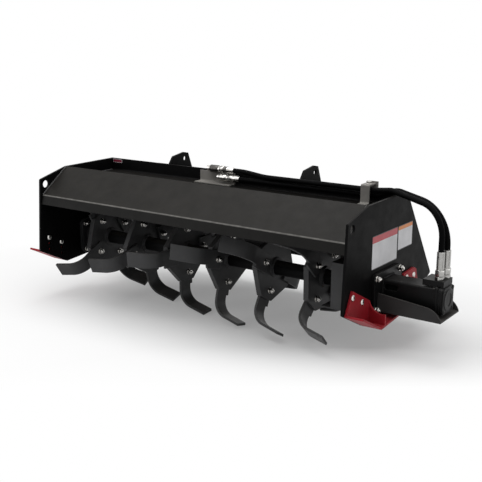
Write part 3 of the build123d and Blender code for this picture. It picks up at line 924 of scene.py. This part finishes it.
bright_zinc_runs = ((4, 20), (64, 82), (112, 150))
coupler_places = (
    ("upper", 142, (598, 455, 374), blackened_zinc, bright_zinc_runs),
    ("lower", 116, (656, 452, 340), bolt_zinc, ()),
)
for name, length, place, coat, bright_runs in coupler_places:
    coupler = model_coupler(f"quick_coupler_{name}", length, *place)
    finish_piece(coupler, coat, "frame")
    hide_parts(f"coupler_{name}")
    coupler.data.materials.append(bolt_zinc)
    start_x = spot(*place).x
    for face in coupler.data.polygons:
        along = (face.center.x - start_x) / mm
        if any(low < along < high for low, high in bright_runs):
            face.material_index = 1

# %% [markdown]
# The clamp that holds both hoses on the hood is screwed down on top. One of the frame's bolt
# heads serves again.

# %% Clamp bolt
clamp_places = [(spot(1388, 451, 385), up, 0.2)]
clamp_bolts = copy_to(small_head, "clamp_bolts", clamp_places)
finish_piece(clamp_bolts, bolt_zinc, "frame")

# %% [markdown]
# Grease nipples feed the two bearings. They are tiny, but a mechanic looks for them first.
# They lean forwards, where a grease gun reaches them.

# %% Grease nipples
nipple_inset = 34
nipple_profile = [(0, 4.6), (4, 4.6), (4.6, 3.2), (8, 3.2), (9, 3.9), (11.4, 3.9), (13, 2.2)]
nipple = turned("nipple", nipple_profile, 16)
forward_up = Vector((0, -0.7, 0.7))
nipple_places = [
    (spot(x, axis_y - 38, axis_z + 40), forward_up, 0.0)
    for x in (nipple_inset, work_width - nipple_inset)
]
nipples = copy_to(nipple, "grease_nipples", nipple_places)
finish_piece(nipples, zinc, "frame")

# %% [markdown]
# Two label plates sit on the right end plate. Each is a thin plate with rounded corners; its
# outer face is inset for the rim, then bisected, so that the band above can have its colour.

# %% Blank label plates
label_wall = 0.9
rim_width = 2.6


def label_plate(name, low, high, band_height, band_film):
    """A blank label on the right end plate, with a rim and a coloured band."""
    plate_back = spot(outside_right, *low)
    plate_front = spot(outside_right + label_wall, *high)
    piece = rounded_block(name, plate_back, plate_front, 5, 0.2)
    for film in (film_rim, film_white, band_film):
        piece.data.materials.append(film)
    nearly_front = plate_front.x - 0.1 * mm
    pick_faces(piece, lambda centre, normal: normal.x > 0.99 and centre.x > nearly_front)
    bpy.ops.mesh.inset(thickness=rim_width * mm, use_boundary=True)
    bpy.context.object.active_material_index = 1
    bpy.ops.object.material_slot_assign()
    band_place = Vector((0, 0, plate_front.z - band_height * mm))
    bpy.ops.mesh.bisect(plane_co=band_place, plane_no=(0, 0, 1))
    bpy.ops.object.mode_set(mode="OBJECT")
    for face in piece.data.polygons:
        if face.material_index == 1 and face.center.z > band_place.z:
            face.material_index = 2
    finish_piece(piece, None, "frame")


label_plate("label_plate_front", (203, 117), (412, 243), 27, film_red)
label_plate("label_plate_back", (416, 147), (545, 242), 17, film_orange)

# %% [markdown]
# A small dark red strip sits inside the trough, at its far end. It is blank too: a flat block
# whose front is inset, so that a pale rim stays round the red.

# %% Blank strip in the trough
deselect_all()
strip_low = spot(4, 477.3, 345)
strip_high = spot(60, 478, 361)
bpy.ops.mesh.primitive_cube_add(size=1, location=(strip_low + strip_high) / 2)
label_strip = name_new("label_strip")
label_strip.scale = strip_high - strip_low
bpy.ops.object.transform_apply(location=True, rotation=False, scale=True)
for film in (film_white, film_dark_red):
    label_strip.data.materials.append(film)
pick_faces(label_strip, lambda centre, normal: normal.y < -0.9)
bpy.ops.mesh.inset(thickness=1.4 * mm)
bpy.context.object.active_material_index = 1
bpy.ops.object.material_slot_assign()
bpy.ops.object.mode_set(mode="OBJECT")
finish_piece(label_strip, None, "frame")

# %% [markdown]
# The models that we copied from have done their work, so they go.

# %% Remove the models
models = [big_nut, domed_head, weld_set, small_nut, small_head, low_dome, cap_screw]
models += [hose_end, adapter, nipple]
for model in models:
    bpy.data.objects.remove(model, do_unlink=True)
print("removed", len(models), "models")

# %% [markdown]
# The machine hangs with the tips of its tines just above a pale floor, which catches a soft
# shadow. The paint of the floor is nearly white, with no shine.

# %% Floor
deselect_all()
swept_radius = 269
lowest = spot(0, 0, axis_z - swept_radius).z
bpy.ops.mesh.primitive_plane_add(size=40, location=(0, 0, lowest))
floor = name_new("floor")
bpy.ops.object.transform_apply(location=True, rotation=False, scale=False)
floor_white, tree, shader = start_material("floor_white")
shader.inputs["Roughness"].default_value = 0.9
shader.inputs["Specular IOR Level"].default_value = 0.0
place = tree.nodes.new("ShaderNodeTexCoord").outputs["Object"]
grain = blend_colours(tree, noise(tree, place, 2.0), (0.86, 0.86, 0.86), (0.88, 0.88, 0.88))
tree.links.new(grain, shader.inputs["Base Color"])
floor.data.materials.append(floor_white)
print("floor at", round(lowest, 4))

# %% [markdown]
# The picture is a studio shot cut out on white: the shadow lies in an oval under the machine
# and ends early towards the front. Two distances give that fade, one from the oval's middle
# and one along the floor towards the viewer, and the larger of the two counts.

# %% Where the floor fades to white
oval_middle = spot(work_width / 2 + 350, axis_y, 0)
oval_stretch = (0.72, 1.25, 0)
towards_front = (0.582, -0.813, 0)


def measure(tree, operation, first, second=None):
    """A vector node's answer for a place and, where it takes one, a second vector."""
    made = add_node(tree, "ShaderNodeVectorMath", settings=(("operation", operation),))
    tree.links.new(first, made.inputs[0])
    if second is not None:
        made.inputs[1].default_value = second
    return made.outputs["Value" if operation in ("LENGTH", "DOT_PRODUCT") else "Vector"]


def larger(tree, first, second):
    """The larger of two values."""
    made = add_node(tree, "ShaderNodeMath", settings=(("operation", "MAXIMUM"),))
    tree.links.new(first, made.inputs[0])
    tree.links.new(second, made.inputs[1])
    return made.outputs["Value"]


from_middle = measure(tree, "SUBTRACT", place, (oval_middle.x, oval_middle.y, lowest))
in_oval = measure(tree, "LENGTH", measure(tree, "MULTIPLY", from_middle, oval_stretch))
oval_fade = spread(tree, in_oval, 0.62, 1.55, 0.22, 1.0)
ahead = measure(tree, "DOT_PRODUCT", place, towards_front)
front_fade = spread(tree, ahead, 0.62, 1.12, 0.0, 1.0)
fade = larger(tree, oval_fade, front_fade)
print("fade round", [round(part, 3) for part in oval_middle.xy])

# %% [markdown]
# White that glows must not light the machine. Light Path tells what kind of ray has arrived,
# so the glow is there for the camera, for reflections and through glass, and not for light.

# %% Glow of the far floor


def seen_rays(tree, rays):
    """1 for the camera, for reflections and through glass, 0 for light."""
    total = rays.outputs["Is Camera Ray"]
    for name in ("Is Glossy Ray", "Is Transmission Ray"):
        total = larger(tree, total, rays.outputs[name])
    return total


rays = tree.nodes.new("ShaderNodeLightPath")
glow = add_node(tree, "ShaderNodeEmission", Strength=1.0)
mixer = tree.nodes.new("ShaderNodeMixShader")
tree.links.new(times(tree, fade, seen_rays(tree, rays)), mixer.inputs["Fac"])
tree.links.new(shader.outputs["BSDF"], mixer.inputs[1])
tree.links.new(glow.outputs["Emission"], mixer.inputs[2])
tree.links.new(mixer.outputs["Shader"], tree.nodes["Material Output"].inputs["Surface"])
print("floor nodes", len(tree.nodes))

# %% [markdown]
# The light is a studio's: one wide softbox overhead, a weaker one in front on the left, a
# small one on the right for the motor, and a dim room. The room is white only where the
# camera or a shiny part looks at it.

# %% Room and lamps
room_level = 0.32
world = bpy.data.worlds.new("studio")
bpy.context.scene.world = world
world.use_nodes = True
tree = world.node_tree
room = tree.nodes["Background"]
room.inputs["Color"].default_value = (1, 1, 1, 1)
rays = tree.nodes.new("ShaderNodeLightPath")
room_strength = spread(tree, seen_rays(tree, rays), 0.0, 1.0, room_level, 1.0)
tree.links.new(room_strength, room.inputs["Strength"])


def softbox(name, place, aim, size, power):
    """A square area lamp that points at a place."""
    lamp = bpy.data.lights.new(name, "AREA")
    lamp.shape = "SQUARE"
    lamp.size = size
    lamp.energy = power
    holder = bpy.data.objects.new(name, lamp)
    bpy.context.collection.objects.link(holder)
    holder.location = place
    holder.rotation_euler = (Vector(aim) - Vector(place)).to_track_quat("-Z", "Y").to_euler()
    print(name, power, "W,", size, "m wide")


softbox("overhead", (0.0, -0.75, 2.6), (0.05, -0.3, 0), 3.0, 88)
softbox("front_left", (-2.6, -3.2, 1.3), (0, -0.4, -0.1), 2.0, 25)
softbox("right", (3.4, -0.8, 1.0), (0.4, -0.4, -0.1), 1.4, 9)

# %% [markdown]
# The camera stands where the photographer's did: to the right, in front and a little above.
# Its place and lens come from lining up the plates' corners with the picture.

# %% Camera
camera_data = bpy.data.cameras.new("camera")
camera_data.lens = 62.74
camera_data.sensor_width = 36
camera = bpy.data.objects.new("camera", camera_data)
bpy.context.collection.objects.link(camera)
camera.location = (2.1466, -3.1675, 0.8125)
looks = Vector((-0.5647, 0.7891, -0.2416))
camera.rotation_euler = looks.to_track_quat("-Z", "Y").to_euler()
bpy.context.scene.camera = camera
bpy.context.scene.view_settings.view_transform = "Standard"
print("camera at", [round(part, 3) for part in camera.location])
